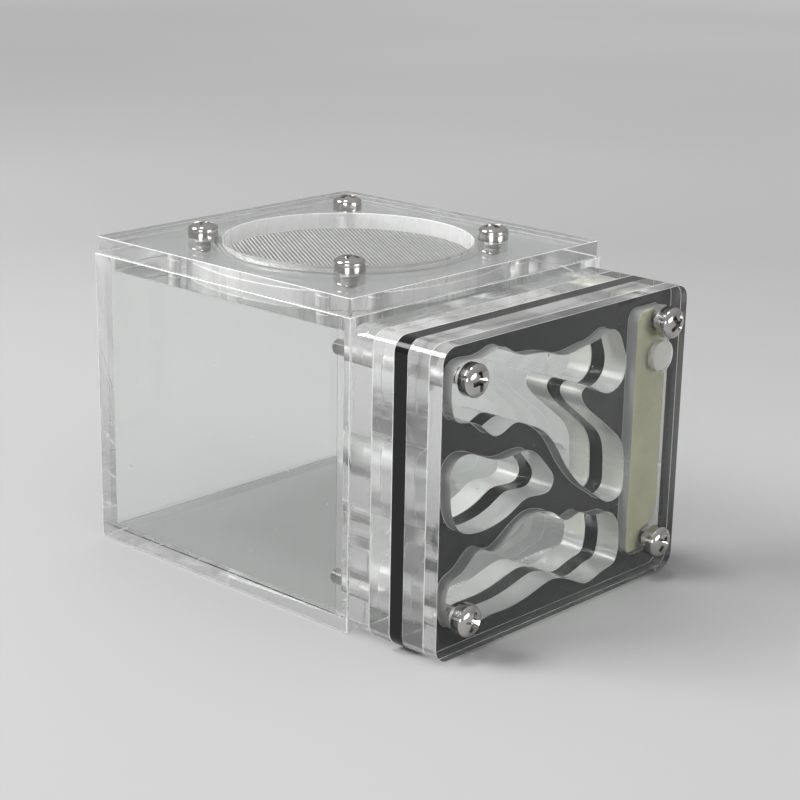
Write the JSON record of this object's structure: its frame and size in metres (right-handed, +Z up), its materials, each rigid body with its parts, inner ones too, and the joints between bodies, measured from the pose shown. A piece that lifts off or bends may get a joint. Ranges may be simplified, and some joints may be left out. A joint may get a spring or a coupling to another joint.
{
  "type": "ant habitat",
  "caption": "Clear desktop ant habitat: open foraging box with a mesh-vented lift-off lid, and a layered nest with curved chambers and a moisture slot screwed to its front.",
  "frame": {"origin": "centre of the box floor's underside", "axes": "+X right along the nest's face, +Y from the nest towards the box's back wall, +Z up"},
  "size_m": [0.07, 0.0942, 0.0653],
  "materials": {
    "clear_acrylic": "polished clear cast acrylic, laser-cut edges",
    "black_acrylic": "polished black cast acrylic",
    "screw_steel": "bright stainless steel",
    "mesh_wire": "fine woven stainless wire",
    "pad_sponge": "damp open-cell sponge",
    "plug_silicone": "translucent silicone"
  },
  "bodies": {
    "box": {"floor_plate": "clear_acrylic", "left_wall": "clear_acrylic", "right_wall": "clear_acrylic", "back_wall": "clear_acrylic", "front_wall": "clear_acrylic", "nest_back_plate": "clear_acrylic", "rear_chamber_plate": "clear_acrylic", "black_chamber_plate": "black_acrylic", "front_chamber_plate": "clear_acrylic", "hydration_pad": "pad_sponge"},
    "lid": {"lid_top_plate": "clear_acrylic", "lid_inner_plate": "clear_acrylic", "vent_mesh": "mesh_wire", "lid_screw_front_left": "screw_steel", "lid_screw_front_right": "screw_steel", "lid_screw_back_left": "screw_steel", "lid_screw_back_right": "screw_steel"},
    "nest_front": {"nest_cover": "clear_acrylic"},
    "plug": {"water_port_plug": "plug_silicone"},
    "nest_screw_top_left_body": {"nest_screw_top_left": "screw_steel"},
    "nest_screw_top_right_body": {"nest_screw_top_right": "screw_steel"},
    "nest_screw_bottom_left_body": {"nest_screw_bottom_left": "screw_steel"},
    "nest_screw_bottom_right_body": {"nest_screw_bottom_right": "screw_steel"}
  },
  "joints": [
    {"name": "lid_lift", "type": "slide", "parent": "box", "child": "lid", "axis": [0, 0, 1], "range_m": [0, 0.05]},
    {"name": "cover_pull", "type": "slide", "parent": "box", "child": "nest_front", "axis": [0, -1, 0], "range_m": [0, 0.04]},
    {"name": "plug_pull", "type": "slide", "parent": "nest_front", "child": "plug", "axis": [0, -1, 0], "range_m": [0, 0.01]},
    {"name": "nest_screw_top_left_unscrew", "type": "slide", "parent": "nest_front", "child": "nest_screw_top_left_body", "axis": [0, -1, 0], "range_m": [0, 0.035]},
    {"name": "nest_screw_top_right_unscrew", "type": "slide", "parent": "nest_front", "child": "nest_screw_top_right_body", "axis": [0, -1, 0], "range_m": [0, 0.035]},
    {"name": "nest_screw_bottom_left_unscrew", "type": "slide", "parent": "nest_front", "child": "nest_screw_bottom_left_body", "axis": [0, -1, 0], "range_m": [0, 0.035]},
    {"name": "nest_screw_bottom_right_unscrew", "type": "slide", "parent": "nest_front", "child": "nest_screw_bottom_right_body", "axis": [0, -1, 0], "range_m": [0, 0.035]}
  ]
}
